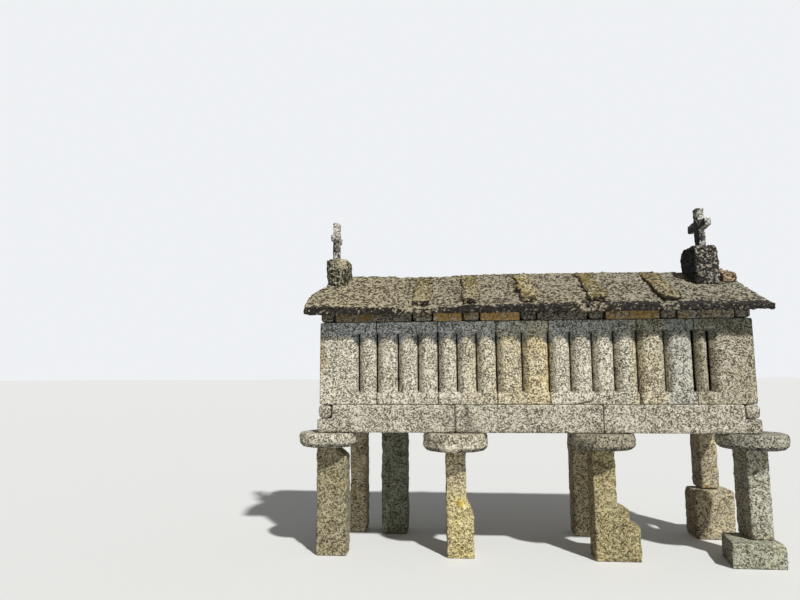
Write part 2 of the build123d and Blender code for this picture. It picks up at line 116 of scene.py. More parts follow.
class GranaryWeather(bpy.types.PropertyGroup):
    """How finely the stones are meshed and how far they are worn."""

    front_step: FloatProperty(
        name="Front mesh step", description="Mesh step on the stones in front",
        default=0.0165, min=0.008, max=0.05, unit="LENGTH")
    back_step: FloatProperty(
        name="Back mesh step", description="Mesh step on the stones behind and inside",
        default=0.034, min=0.012, max=0.08, unit="LENGTH")
    dent_depth: FloatProperty(
        name="Dent depth", description="Depth of the broad dents in a dressed face",
        default=0.006, min=0.0, max=0.03, unit="LENGTH")
    lump_depth: FloatProperty(
        name="Lump depth", description="Depth between the lumps of a dressed face",
        default=0.006, min=0.0, max=0.03, unit="LENGTH")
    crumb_depth: FloatProperty(
        name="Crumb depth", description="Depth between the grains of a dressed face",
        default=0.004, min=0.0, max=0.02, unit="LENGTH")
    wear_passes: IntProperty(
        name="Edge wear", description="Passes of rounding over the stones' edges",
        default=3, min=0, max=20)


class GranaryColours(bpy.types.PropertyGroup):
    """Colours of the stone and of what grows on it."""

    pale: FloatVectorProperty(
        name="Pale lichen", description="Lichen that covers most of the granite",
        default=(0.80, 0.755, 0.61), subtype="COLOR", min=0.0, max=1.0)
    granite: FloatVectorProperty(
        name="Granite", description="Bare weathered granite",
        default=(0.40, 0.365, 0.27), subtype="COLOR", min=0.0, max=1.0)
    speck: FloatVectorProperty(
        name="Dark specks", description="Dark lichen specks and mica",
        default=(0.10, 0.085, 0.06), subtype="COLOR", min=0.0, max=1.0)
    moss: FloatVectorProperty(
        name="Moss", description="Yellow-green moss on the cover strips",
        default=(0.28, 0.24, 0.10), subtype="COLOR", min=0.0, max=1.0)
    ochre: FloatVectorProperty(
        name="Ochre stain", description="Orange-brown stain under the eaves",
        default=(0.56, 0.36, 0.12), subtype="COLOR", min=0.0, max=1.0)
    # Also painted as shade: under the caps, on the strips' low ends, below the crosses' arms and on
    # their left sides, and on the right base's left side
    crust: FloatVectorProperty(
        name="Black crust", description="Near-black crust on eaves and cross bases",
        default=(0.035, 0.03, 0.028), subtype="COLOR", min=0.0, max=1.0)
    wood: FloatVectorProperty(
        name="Door boards", description="Weathered boards of the door",
        default=(0.30, 0.24, 0.17), subtype="COLOR", min=0.0, max=1.0)


class GranaryStage(bpy.types.PropertyGroup):
    """The floor, the lights and the camera."""

    floor_size: FloatProperty(
        name="Floor size", description="Side of the square floor",
        default=400.0, min=10.0, unit="LENGTH")
    key_strength: FloatProperty(
        name="Key light", description="Strength of the key light",
        default=3.8, min=0.0)
    key_softness: FloatProperty(
        name="Key softness", description="Angle of the key light's disc",
        default=math.radians(2.5), min=0.0, max=math.pi, subtype="ANGLE")
    key_height: FloatProperty(
        name="Key height", description="Angle of the key light over the floor",
        default=math.radians(47.5), min=0.0, max=math.pi / 2, subtype="ANGLE")
    key_side: FloatProperty(
        name="Key side", description="Angle of the key light to the right of the front",
        default=math.radians(33.0), min=-math.pi, max=math.pi, subtype="ANGLE")
    fill_strength: FloatProperty(
        name="Fill light", description="Strength of the even light from all sides",
        default=0.20, min=0.0)
    lens: FloatProperty(
        name="Lens", description="Focal length on a sensor 36 mm wide",
        default=27.0, min=10.0, max=200.0, unit="CAMERA")


# Shader nodes

def place(tree, kind, inputs=None, **settings):
    """Adds a shader node; an input that is a socket is linked, any other value is set."""
    made = tree.nodes.new(kind)
    for name, value in settings.items():
        setattr(made, name, value)
    for key, value in (inputs or {}).items():
        if isinstance(value, bpy.types.NodeSocket):
            tree.links.new(value, made.inputs[key])
        else:
            made.inputs[key].default_value = value
    return made


def noise_value(tree, where, scale, detail, rough):
    """A noise texture's value at the given coordinates."""
    made = place(tree, "ShaderNodeTexNoise", {
        "Vector": where, "Scale": scale, "Detail": detail, "Roughness": rough})
    return made.outputs["Fac"]


def flake_value(tree, where, scale):
    """A random value for each small flake of lichen or grain of stone."""
    cells = place(tree, "ShaderNodeTexVoronoi", {"Vector": where, "Scale": scale})
    parts = place(tree, "ShaderNodeSeparateColor", {0: cells.outputs["Color"]})
    return parts.outputs[0]


def maths(tree, operation, first, second):
    """The result of one sum on two values."""
    return place(tree, "ShaderNodeMath", {0: first, 1: second}, operation=operation).outputs[0]


def swing(tree, value, depth):
    """A value's swing about one half, to the given depth."""
    return maths(tree, "MULTIPLY", maths(tree, "SUBTRACT", value, 0.5), depth)


def span(tree, value, start, end):
    """The value stretched so that start gives 0 and end gives 1."""
    made = place(tree, "ShaderNodeMapRange", {
        "Value": value, "From Min": start, "From Max": end})
    return made.outputs["Result"]


def blend(tree, share, first, second, kind="MIX"):
    """Two colours mixed by share."""
    made = place(tree, "ShaderNodeMix", {0: share, 6: first, 7: second},
                 data_type="RGBA", blend_type=kind)
    return made.outputs[2]


def opaque(colour, level=1.0):
    """A colour with its alpha, at a share of its brightness."""
    return (*(part * level for part in colour), 1.0)


def speckled(tree, value, stops):
    """A colour ramp through the given places and colours."""
    made = place(tree, "ShaderNodeValToRGB", {"Fac": value})
    band = made.color_ramp.elements
    while len(band) < len(stops):
        band.new(0.5)
    for element, (position, colour) in zip(band, stops):
        element.position = position
        element.color = colour
    return made.outputs["Color"]


def lichen_stone(name, colours, level=1.0, grain=50.0, drift=0.30, blotch=0.22, flakes=0.45,
                 contrast=1.0, pitting=0.005, drawn=1.0):
    """Granite under lichen, with moss, ochre and crust where the cover attribute has them; the
    crust is also painted shade on some stones.

    Level is the brightness, grain the density of the speckles, and drawn their length along X.
    Drift, blotch and flakes are the shares of broad, middling and fine patterns.
    """
    material = bpy.data.materials.new(name)
    material.use_nodes = True
    tree = material.node_tree
    tree.nodes.clear()
    where = place(tree, "ShaderNodeTexCoord").outputs["Object"]
    if drawn != 1.0:
        along = place(tree, "ShaderNodeMapping", {"Vector": where, "Scale": (1 / drawn, 1, 1)})
        where = along.outputs[0]
    rippled = swing(tree, noise_value(tree, where, grain, detail=3.0, rough=0.6), 0.7)
    flaked = swing(tree, flake_value(tree, where, grain * 1.2), flakes)
    fine = maths(tree, "ADD", maths(tree, "ADD", rippled, flaked), 0.5)
    broad = noise_value(tree, where, scale=3.2, detail=4.0, rough=0.6)
    middling = noise_value(tree, where, scale=12.0, detail=3.0, rough=0.65)
    grains = noise_value(tree, where, grain * 4.0, detail=2.0, rough=0.6)
    drifts = maths(tree, "ADD", swing(tree, broad, drift), swing(tree, middling, blotch))
    mixed = maths(tree, "ADD", fine, drifts)
    stone = speckled(tree, mixed, [
        (0.50 - 0.11 / contrast, opaque(colours.speck, level)),
        (0.50 - 0.01 / contrast, opaque(colours.granite, level)),
        (0.50 + 0.10 / contrast, opaque(colours.pale, level))])
    cover = place(tree, "ShaderNodeAttribute", attribute_name="cover")
    shares = place(tree, "ShaderNodeSeparateColor", {0: cover.outputs["Color"]})
    ragged = noise_value(tree, where, grain * 0.7, detail=4.0, rough=0.75)
    layers = [
        (shares.outputs[0], colours.pale, colours.granite),
        (shares.outputs[1], colours.moss, [part * 0.3 for part in colours.moss]),
        (shares.outputs[2], colours.ochre, [part * 0.5 for part in colours.ochre]),
        (cover.outputs["Alpha"], colours.crust, [part * 0.3 for part in colours.crust]),
    ]
    for share, light, dark in layers:
        reached = maths(tree, "ADD", share, ragged)
        mask = span(tree, reached, 0.85, 1.1)
        layer = speckled(tree, fine, [(0.35, opaque(dark)), (0.6, opaque(light))])
        stone = blend(tree, mask, stone, layer)
    tone = place(tree, "ShaderNodeAttribute", attribute_name="tone").outputs["Color"]
    stone = blend(tree, 1.0, stone, tone, "MULTIPLY")
    shine = span(tree, fine, 0.2, 0.8)
    matt = maths(tree, "SUBTRACT", 0.97, maths(tree, "MULTIPLY", shine, 0.15))
    height = maths(tree, "ADD", fine, maths(tree, "MULTIPLY", grains, 0.5))
    relief = place(tree, "ShaderNodeBump", {
        "Height": height, "Strength": 0.8, "Distance": pitting})
    shader = place(tree, "ShaderNodeBsdfPrincipled", {
        "Base Color": stone, "Roughness": matt, "Specular IOR Level": 0.25,
        "Normal": relief.outputs["Normal"]})
    place(tree, "ShaderNodeOutputMaterial", {"Surface": shader.outputs[0]})
    return material


# Weathering of the stones

def loose_solids(mesh):
    """Merged copies of the separate solids in a mesh."""
    whole = bmesh.new()
    whole.from_mesh(mesh)
    bmesh.ops.remove_doubles(whole, verts=whole.verts, dist=1e-5)
    left = set(whole.verts)
    groups = []
    while left:
        group, waiting = set(), [left.pop()]
        while waiting:
            vertex = waiting.pop()
            group.add(vertex.index)
            near = {edge.other_vert(vertex) for edge in vertex.link_edges} & left
            left -= near
            waiting.extend(near)
        groups.append(group)
    solids = []
    for group in sorted(groups, key=min):
        part = whole.copy()
        part.verts.ensure_lookup_table()
        others = [v for v in part.verts if v.index not in group]
        bmesh.ops.delete(part, geom=others, context="VERTS")
        solids.append(part)
    whole.free()
    return solids


def remeshed(part, step):
    """The solid's skin as an even mesh with the given step."""
    mesh = bpy.data.meshes.new("solid")
    part.to_mesh(mesh)
    part.free()
    block = bpy.data.objects.new("solid", mesh)
    bpy.context.scene.collection.objects.link(block)
    skin = block.modifiers.new("skin", "REMESH")
    skin.mode = "VOXEL"
    skin.voxel_size = step
    ready = block.evaluated_get(bpy.context.evaluated_depsgraph_get())
    even = bpy.data.meshes.new_from_object(ready)
    bpy.data.objects.remove(block)
    bpy.data.meshes.remove(mesh)
    return even


def sliced(part, step):
    """The solid's skin cut by planes into cells of the given step, with its slits kept."""
    bmesh.ops.dissolve_limit(part, angle_limit=math.radians(1.0), verts=part.verts,
                             edges=part.edges)
    for axis in (2, 1, 0):
        along = Vector([float(axis == other) for other in range(3)])
        reach = [vertex.co[axis] for vertex in part.verts]
        low, high = min(reach), max(reach)
        count = max(1, round((high - low) / step))
        for cut in range(1, count):
            bmesh.ops.bisect_plane(
                part, geom=[*part.verts, *part.edges, *part.faces], dist=1e-5,
                plane_co=along * (low + (high - low) * cut / count), plane_no=along)
    mesh = bpy.data.meshes.new("solid")
    part.to_mesh(mesh)
    part.free()
    return mesh


def coordinates(mesh):
    """The mesh's points as an array of rows."""
    flat = np.empty(len(mesh.vertices) * 3, np.float32)
    mesh.vertices.foreach_get("co", flat)
    return flat.reshape(-1, 3).astype(float)


def directions(mesh):
    """The mesh's outward directions at its points as an array of rows."""
    flat = np.empty(len(mesh.vertices) * 3, np.float32)
    mesh.vertex_normals.foreach_get("vector", flat)
    return flat.reshape(-1, 3).astype(float)


def fractal(points, size, seed, octaves=3):
    """Fractal noise from about -1 to 1 with features of the given size."""
    shift = Vector((seed * 7.3, seed * 3.1, seed * 5.7))
    return np.array([
        noise.fractal(Vector(point) / size + shift, 1.0, 2.0, octaves) for point in points])


def ramp(values, start, end):
    """Values stretched so that start gives 0 and end gives 1, and held there."""
    return np.clip((values - start) / (end - start), 0.0, 1.0)


def spot(points, centre, radius):
    """1 at the centre of a round spot, falling to 0 at its radius."""
    away = np.linalg.norm(points - np.array(centre), axis=1)
    return ramp(away, radius, radius * 0.35)


class Surface:
    """A stone's skin as arrays, while it is worn and stained."""

    def __init__(self, node, step, mesher=remeshed):
        whole = bmesh.new()
        for part in loose_solids(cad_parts[node].data):
            even = mesher(part, step)
            whole.from_mesh(even)
            bpy.data.meshes.remove(even)
        self.node = node
        self.work = whole
        self.mesh = bpy.data.meshes.new(node)
        whole.to_mesh(self.mesh)
        self.points = coordinates(self.mesh)
        self.facing = directions(self.mesh)
        self.seed = sum(ord(letter) for letter in node) % 97
        count = len(self.points)
        self.tone = np.ones((count, 3))
        self.cover = np.zeros((count, 4))
        self.give = np.ones(count)

    def field(self, size, turn, octaves=3):
        """Fractal noise over the skin, another one for each turn."""
        return fractal(self.points, size, self.seed + turn, octaves)

    def hold(self, axis, share):
        """Keeps faces that look along an axis near their place, so that stones keep touching."""
        level = ramp(np.abs(self.facing[:, axis]), 0.6, 0.9)
        self.give *= 1.0 - (1.0 - share) * level

    def round_edges(self, passes):
        """Wears the stone's edges, more in some places than in others."""
        for _ in range(passes):
            bmesh.ops.smooth_vert(self.work, verts=self.work.verts, factor=0.5,
                                  use_axis_x=True, use_axis_y=True, use_axis_z=True)
        smoother = bpy.data.meshes.new("smoother")
        self.work.to_mesh(smoother)
        pull = coordinates(smoother) - coordinates(self.mesh)
        bpy.data.meshes.remove(smoother)
        share = 1.0 + EDGE_UNEVENNESS * self.field(DENT_SIZE, 1)
        self.points = self.points + pull * np.clip(share, 0.2, 1.8)[:, None]

    def roughen(self, dent, lump, crumb, raised=0.0, drawn=1.0):
        """Raises the skin, and sinks dents, lumps and crumbs into it that are drawn out along X."""
        grid = self.points / np.array((drawn, 1.0, 1.0))
        hollows = [
            (dent, fractal(grid, DENT_SIZE, self.seed + 2)),
            (lump, fractal(grid, LUMP_SIZE, self.seed + 3)),
            (crumb, fractal(grid, CRUMB_SIZE, self.seed + 4, 2)),
        ]
        depth = sum(size * (0.5 + 0.8 * field) for size, field in hollows) - raised
        self.points = self.points - self.facing * (depth * self.give)[:, None]

    def finish(self, material):
        """Writes the skin back as a piece that stands for its node."""
        low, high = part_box(self.node)
        self.points = np.clip(self.points, np.array(low), np.array(high))
        self.mesh.vertices.foreach_set("co", self.points.astype(np.float32).ravel())
        self.mesh.polygons.foreach_set("use_smooth", [True] * len(self.mesh.polygons))
        count = len(self.points)
        tone = np.ones((count, 4), np.float32)
        tone[:, :3] = self.tone
        for name, values in (("tone", tone), ("cover", self.cover)):
            layer = self.mesh.color_attributes.new(name, "FLOAT_COLOR", "POINT")
            layer.data.foreach_set("color", np.clip(values, 0, 2).astype(np.float32).ravel())
        self.mesh.update()
        self.work.free()
        self.mesh.materials.append(material)
        piece = bpy.data.objects.new(self.node + "_stone", self.mesh)
        bpy.context.scene.collection.objects.link(piece)
        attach(piece, "root")
        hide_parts(self.node)
        return piece


def strip_spans():
    """Where each cover strip in front lies along the ridge, from the left."""
    spans = []
    for part in loose_solids(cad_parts["front_cover_strips"].data):
        places = [vertex.co.x for vertex in part.verts]
        spans.append((min(places), max(places)))
        part.free()
    return sorted(spans)


def nodes_named(*starts):
    """The CAD nodes whose names begin with one of the given words, in order."""
    return sorted(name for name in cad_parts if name.startswith(starts))


def round_slats(skin):
    """Rounds the slats of a long side further off towards their slits."""
    side = 1.0 if skin.node.startswith("back") else -1.0
    inwards = WALL_DEPTH - side * skin.points[:, 1]
    further = SLAT_ROUNDING * (1.0 - inwards / SLAB_THICKNESS)
    skin.points[:, 1] = side * (WALL_DEPTH - inwards * (1.0 + further))


def dressed(node, step, material, stain, depth=1.0, slotted=False, butted=False,
            shape=None):
    """A dressed stone with worn edges, roughened and stained; a shape changes its form first."""
    weather = bpy.context.scene.granary_weather
    skin = Surface(node, step, sliced if slotted else remeshed)
    if shape:
        shape(skin)
    skin.hold(2, SEAT_SHARE)
    if slotted:
        skin.hold(1 if "gable" in node else 0, SLIT_SHARE)
    if butted:
        skin.hold(0, 0.0)
    skin.round_edges(weather.wear_passes)
    skin.roughen(weather.dent_depth * depth, weather.lump_depth * depth,
                 weather.crumb_depth * depth)
    stain(skin)
    return skin.finish(material)


# Tones that multiply the stone's colour

WARM = np.array((1.0, 0.93, 0.76))
COOL = np.array((0.75, 0.79, 0.86))
RUSTY = np.array((0.64, 0.61, 0.54))
# Painted shade on faces turned away from the key light: the slats' left flanks, where partly also
# less lichen, and the crosses' left sides and undersides
PAINTED_SHADE_TONE = np.array((0.80, 0.78, 0.74))
# Dark cracks and joints, and painted shade on the right base's left side
DARK = np.array((0.25, 0.23, 0.21))
# Painted cool shade of the eaves over the wall's head, the same painted shade darker further right,
# and the brown run at its left edge
EAVE_SHADE_TONE = np.array((0.83, 0.93, 1.15))
EAVE_SHADE_RIGHT_TONE = np.array((0.65, 0.64, 0.55))
BROWN_RUN = np.array((0.78, 0.62, 0.42))
# A streak down the sill, and the stones of the top course that have no ochre stain
STREAKED = np.array((0.45, 0.43, 0.42))
GREY_COURSE = np.array((0.36, 0.35, 0.34))
# The roof, its right and its left, and the cover strips
ROOF_TONE = np.array((0.77, 0.715, 0.625))
ROOF_TONE_RIGHT = np.array((0.95, 1.0, 1.05))
ROOF_TONE_LEFT = np.array((1.15, 1.15, 1.08))
STRIP_TONE = np.array((0.90, 0.82, 0.62))
# The stones on the ridge
LEFT_BASE_TONE = np.array((0.95, 0.92, 0.80))
END_STONE_TONE = np.array((0.95, 0.72, 0.60))
# Painted shade on the left sides of the legs, painted cool shade on the second leg's head under its
# cap, and that leg's spot of yellow lichen
LEG_SHADE_TONE = np.array((0.60, 0.57, 0.55))
LEG_HEAD_SHADE_TONE = np.array((0.96, 0.98, 1.20))
LEG_SPOT_TONE = np.array((1.25, 1.2, 0.6))
# Stones that have a tone of their own, and the tone of the legs that have none
LEG_TONES = {
    "front_pillar_1": (0.62, 0.61, 0.55),
    "front_pillar_2": (1.08, 1.03, 0.76),
    "front_pillar_3": (0.73, 0.70, 0.54),
    "front_pillar_4": (0.85, 0.92, 1.02),
    "front_plinth": (0.72, 0.80, 0.86),
    "back_pillar_2": (0.42, 0.49, 0.52),
}
OTHER_LEG_TONE = (0.9, 0.88, 0.84)
CAP_TONES = {
    "front_cap_1": (1.0, 1.0, 1.0),
    "front_cap_2": (0.95, 0.93, 0.90),
    "front_cap_3": (0.62, 0.60, 0.56),
    "front_cap_4": (0.65, 0.66, 0.66),
}
CROSS_TONES = {"left_cross": (1.08, 1.11, 1.20), "right_cross": (0.90, 0.96, 1.10)}

# Places of the marks on the stone

# Slats that differ from the rest: where they start and end from the left of the wall, how far
# they differ, and towards which tone
SLAT_TONES = [
    (1.96, 2.40, 0.5, WARM),
    (2.38, 3.13, 1.0, WARM),
    (2.78, 3.13, 0.8, WARM),
    (4.14, 4.60, 0.8, WARM),
    (4.60, 4.97, 1.0, COOL),
    (4.97, 5.18, 1.0, RUSTY),
    (5.18, 5.70, 1.0, RUSTY),
]
# Height of the wall's head that gets the painted shade of the eaves, how much lower it reaches in
# the slits, and half its border
HEAD_HEIGHT, HEAD_IN_SLITS, HEAD_BORDER = 0.20, 0.09, 0.02
# Height of the brown run's middle
RUN_HEIGHT = 2.72
# Cracks in the wall's foot: both ends as X and Z, width and depth
WALL_CRACKS = [
    ((0.424, 1.972), (0.732, 2.033), 0.016, 0.02),
    ((1.36, 1.99), (1.358, 2.07), 0.03, 0.03),
]
# How near its ends a stone is dark all over, and where this fades out
JOINT_DARK, JOINT_CLEAR = 0.003, 0.012
# Middle of the dark streak down the sill
STREAK_PLACE = -0.88
# Stones of the top course with an ochre stain: where they start and end, how strong the stain is
# and how bright
OCHRE_STONES = [
    (0.204, 0.78, 0.48, 0.46),
    (1.283, 1.559, 0.36, 0.50),
    (1.559, 1.964, 0.56, 0.94),
    (1.964, 2.197, 0.44, 0.56),
    (2.197, 2.738, 0.54, 0.90),
    (3.848, 4.540, 0.52, 0.68),
    (4.769, 5.484, 0.34, 0.56),
]
# How far from the ridge the eave's black edge starts on the left, how much sooner on the right,
# how far its lumps shift it, and its border
BRINK, BRINK_SOONER, BRINK_SHIFT, BRINK_BORDER = 1.06, 0.08, 0.035, 0.03
# Where pale flakes hang over the black edge of the eaves: middle along the roof and half width
EAVE_FLAKES = [(-1.55, 0.32), (0.70, 0.22), (1.70, 0.14)]
# How strongly the moss has taken each cover strip, from the left: its upper and its lower part
STRIP_MOSS = np.array([(0.36, 0.36), (0.36, 0.18), (0.44, 0.44), (0.48, 0.36), (0.46, 0.02)])
STRIP_LEVEL = np.array((0.92, 0.98, 1.25, 0.95, 0.90))
# Spots of lichen as centre and radius: on the left base under its top, on the second leg with a
# pale heart, and on the last leg behind
BASE_SPOT, BASE_SPOT_DROP = ((-2.68, -0.40), 0.14), 0.09
LEG_SPOT = ((-1.01, -0.77, 0.70), 0.075)
LEG_SPOT_HEART = ((-0.95, -0.77, 0.66), 0.06)
LAST_LEG_SPOT = ((2.60, 0.41, 0.73), 0.06)
# The white patch on the second cap's rim, made of spots that overlap
CAP_SPOTS = [((x, -1.08, 1.44), 0.09) for x in (-1.25, -1.17, -1.09)]


# Shapes and stains of the stones

def tint(skin, share, tone):
    """Turns the stone's tone towards another by a share for each point."""
    skin.tone *= 1.0 + share[:, None] * (tone - 1.0)


def crack(skin, start, end, width, depth):
    """A dark crack cut along a line on the wall's face."""
    first, line = np.array(start), np.array(end) - np.array(start)
    flat = skin.points[:, [0, 2]]
    along = np.clip((flat - first) @ line / (line @ line), 0.0, 1.0)
    away = np.linalg.norm(flat - first - along[:, None] * line, axis=1)
    share = ramp(away, width, width * 0.3) * ramp(-skin.facing[:, 1], 0.0, 0.5)
    skin.points[:, 1] += share * depth
    tint(skin, share, DARK)


def joined(skin):
    """Strongest beside the joints at a stone's two ends along the wall, and 0 elsewhere."""
    low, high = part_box(skin.node)
    ends = np.minimum(skin.points[:, 0] - low.x, high.x - skin.points[:, 0])
    return 0.85 * ramp(ends, JOINT_CLEAR, JOINT_DARK)


def stain_wall(skin):
    """Slats of different tones, paler towards their feet, with painted shade of the eaves over the
    head and on the left flanks.
    """
    x, z = skin.points[:, 0] - WALL_LEFT, skin.points[:, 2]
    if skin.node.startswith("back"):
        x = WALL_RIGHT - skin.points[:, 0]
    patch = skin.field(PATCH_SIZE, 5)
    for start, end, strength, tone in SLAT_TONES:
        share = ramp(x, start, start + 0.02) * ramp(x, end, end - 0.02) * strength
        tint(skin, share * (0.75 + 0.4 * patch), tone)
    # Painted shade of the eaves: a cool bluish-grey tone over the head, reaching lower in the
    # slits, and darker further right
    in_slit = ramp(np.abs(skin.facing[:, 0]), 0.15, 0.6)
    reach = SLAB_TOP - HEAD_HEIGHT - HEAD_IN_SLITS * in_slit
    head = ramp(z, reach - HEAD_BORDER, reach + HEAD_BORDER)
    tint(skin, head, EAVE_SHADE_TONE)
    tint(skin, joined(skin), DARK)
    tint(skin, head * ramp(x, 3.0, 4.2), EAVE_SHADE_RIGHT_TONE)
    run = ramp(x + 0.05 * patch, 0.12, 0.02) * ramp(np.abs(z - RUN_HEIGHT), 0.35, 0.1)
    tint(skin, run, BROWN_RUN)
    # Painted shade on the flanks that face left, partly also less pale lichen away from the sun
    tint(skin, ramp(-skin.facing[:, 0], 0.15, 0.7), PAINTED_SHADE_TONE)
    skin.cover[:, 0] = 0.16 * ramp(z, SLAB_FOOT + 0.35, SLAB_FOOT) + 0.14 * patch
    skin.cover[:, 2] = 0.30 * ramp(patch, 0.25, 0.7) * ramp(x, 4.9, 5.6)
    for place_and_size in WALL_CRACKS:
        crack(skin, *place_and_size)


def stain_sill(skin):
    """Grey lichen with greenish patches, and one dark streak."""
    x = skin.points[:, 0]
    patch = skin.field(PATCH_SIZE * 1.6, 5)
    skin.cover[:, 0] = 0.14 * ramp(patch, 0.0, 0.6)
    green = 0.30 * ramp(-patch, 0.25, 0.7)
    skin.cover[:, 1] = green + 0.15 * ramp(x, -2.2, -2.8) * ramp(patch, -0.3, 0.4)
    tint(skin, joined(skin), DARK)
    streak = ramp(np.abs(x - STREAK_PLACE + 0.08 * patch), 0.10, 0.02)
    tint(skin, 0.8 * streak, STREAKED)


def stain_course(skin):
    """Ochre under the eaves, with greyer stones between."""
    x, z = skin.points[:, 0] - WALL_LEFT, skin.points[:, 2]
    patch = skin.field(PATCH_SIZE, 5)
    grey = np.ones(len(x))
    for start, end, strength, level in OCHRE_STONES:
        share = ramp(x, start - 0.005, start + 0.01) * ramp(x, end + 0.005, end - 0.01)
        drip = ramp(z, SLAB_TOP + 0.05, SLAB_TOP + 0.20)
        skin.cover[:, 2] += share * (strength + 0.22 * patch + 0.12 * drip)
        tint(skin, share, np.full(3, level))
        grey *= 1.0 - share
    tint(skin, grey, GREY_COURSE)


def break_end(skin):
    """Takes the roof's broken left end back beside the ridge, and along a slant below it."""
    out = np.abs(skin.points[:, 1])
    gone = LEFT_BREAK * ramp(out, LEFT_REACH + LEFT_SLANT, LEFT_REACH)
    skin.points[:, 0] = np.maximum(skin.points[:, 0], ROOF_LEFT + gone)


def close_joints(skin):
    """Lets the crust grow over the narrow joints between the roof slabs."""
    within = np.abs(skin.points[:, 0]) < ROOF_RIGHT - 0.1
    side = np.where(np.abs(skin.facing[:, 0]) > 0.5, np.sign(skin.facing[:, 0]), 0.0)
    skin.give[within & (side != 0.0)] = 0.0
    skin.points[:, 0] += within * side * JOINT_GROWTH


def stain_roof(skin):
    """Brown-grey crust, with black tufts on the eave's edge."""
    x = skin.points[:, 0]
    patch = skin.field(PATCH_SIZE, 5)
    lump = skin.field(LUMP_SIZE, 6)
    crumb = skin.field(CRUMB_SIZE, 7, 2)
    upright = ramp(skin.facing[:, 2], 0.80, 0.45)
    reach = BRINK - BRINK_SOONER * ramp(x, -0.5, 1.2) + BRINK_SHIFT * lump
    brink = ramp(np.abs(skin.points[:, 1]), reach, reach + BRINK_BORDER)
    skin.cover[:, 3] = np.maximum(upright, brink) * (0.68 + 0.20 * lump + 0.50 * crumb)
    for middle, half in EAVE_FLAKES:
        bare = ramp(np.abs(x - middle), half, 0.6 * half)
        skin.cover[:, 3] -= 0.24 * bare * (1.0 + 1.5 * lump)
    skin.cover[:, 3] += 0.20 * ramp(patch, 0.3, 0.8)
    skin.cover[:, 1] = 0.30 * ramp(patch + 0.4 * ramp(x, -0.5, -2.5), 0.1, 0.6) * (1.0 - upright)
    skin.cover[:, 0] = 0.22 * ramp(-patch, 0.2, 0.7) * (1.0 - upright)
    skin.tone *= ROOF_TONE
    tint(skin, ramp(x, 0.5, 1.8), ROOF_TONE_RIGHT)
    tint(skin, ramp(x, -0.8, -2.2), ROOF_TONE_LEFT)


def stain_strip(skin):
    """Moss over most of the strip, with black sides, and its low end painted black as the shadow in
    the hollow under it.
    """
    patch = skin.field(PATCH_SIZE, 5)
    lump = skin.field(LUMP_SIZE, 6)
    middles = np.array([(low + high) / 2 for low, high in strip_spans()])
    nearest = np.argmin(np.abs(skin.points[:, :1] - middles[None, :]), axis=1)
    high = ramp(skin.points[:, 2], EAVE_TOP, RIDGE_TOP)
    upper = ramp(high + 0.1 * patch, 0.50, 0.62)
    moss = STRIP_MOSS[nearest, 1] * (1.0 - upper) + STRIP_MOSS[nearest, 0] * upper
    skin.cover[:, 1] = moss + 0.25 * patch
    skin.tone *= STRIP_LEVEL[nearest][:, None] * STRIP_TONE
    upright = ramp(skin.facing[:, 2], 0.45, 0.1)
    # The low end face is painted black as the shadow under the strip's end
    foot = ramp(-skin.facing[:, 1], 0.6, 0.85) * ramp(high, 0.45, 0.2)
    skin.cover[:, 3] = upright * (0.30 + 0.30 * lump) + foot * (0.40 + 0.35 * lump)


def wear_strip(skin):
    """Eats into the long edges of the strips in uneven bites, most at their low ends."""
    for left, right in strip_spans():
        middle, half = (left + right) / 2, (right - left) / 2
        here = np.abs(skin.points[:, 0] - middle) < half + 0.02
        points = skin.points[here]
        off = (points[:, 0] - middle) / half
        along = np.column_stack([np.sign(off) * 5.0 + middle, points[:, 1], 0.0 * off])
        high = ramp(points[:, 2], EAVE_TOP, RIDGE_TOP)
        uneven = fractal(along, BITE_SIZE, skin.seed + 9)
        bite = 0.04 + 0.34 * uneven + 0.22 * ramp(high, 0.30, 0.12)
        skin.points[here, 0] -= off * np.abs(off) * half * np.clip(bite, -0.1, 0.5)
    top = ramp(skin.points[:, 2], RIDGE_TOP - STRIP_SINK_HEIGHT, RIDGE_TOP)
    skin.points[:, 2] -= STRIP_SINK * top


def swell(skin):
    """Draws in the block's crown and foot, so that it bulges like a boulder."""
    middle = (skin.points.min(axis=0) + skin.points.max(axis=0)) / 2
    low, high = skin.points[:, 2].min(), skin.points[:, 2].max()
    share = ramp(skin.points[:, 2], low, high)
    pull = 0.04 * ramp(share, 0.80, 1.0) + 0.14 * ramp(share, 0.45, 0.1)
    skin.points[:, :2] -= (skin.points[:, :2] - middle[:2]) * pull[:, None]


def batter(skin):
    """Leans the block's right side in towards its crown."""
    left, right = skin.points[:, 0].min(), skin.points[:, 0].max()
    low, high = skin.points[:, 2].min(), skin.points[:, 2].max()
    upwards = ramp(skin.points[:, 2], low + BASE_LEAN_START, high)
    skin.points[:, 0] -= BASE_LEAN * ramp(skin.points[:, 0], left, right) * upwards


def stain_base(skin):
    """Black crust with pale lichen knobs, and painted shade that makes the left side blackest."""
    # The left side gets painted shade: more crust and a dark tone
    left = ramp(-skin.facing[:, 0], 0.2, 0.7)
    skin.cover[:, 3] = 0.55 + 0.40 * skin.field(KNOB_SIZE, 3) + 0.5 * left
    tint(skin, left, DARK)


def stain_left_base(skin):
    """Black crust, with a little orange-yellow lichen at the upper right in front."""
    skin.cover[:, 3] = 0.52 + 0.38 * skin.field(KNOB_SIZE, 3)
    skin.tone *= LEFT_BASE_TONE
    (x, y), radius = BASE_SPOT
    centre = (x, y, skin.points[:, 2].max() - BASE_SPOT_DROP)
    share = spot(skin.points, centre, radius) * (0.7 + 0.5 * skin.field(LUMP_SIZE, 7))
    skin.cover[:, 3] -= 0.5 * share
    skin.cover[:, 2] = 0.42 * share


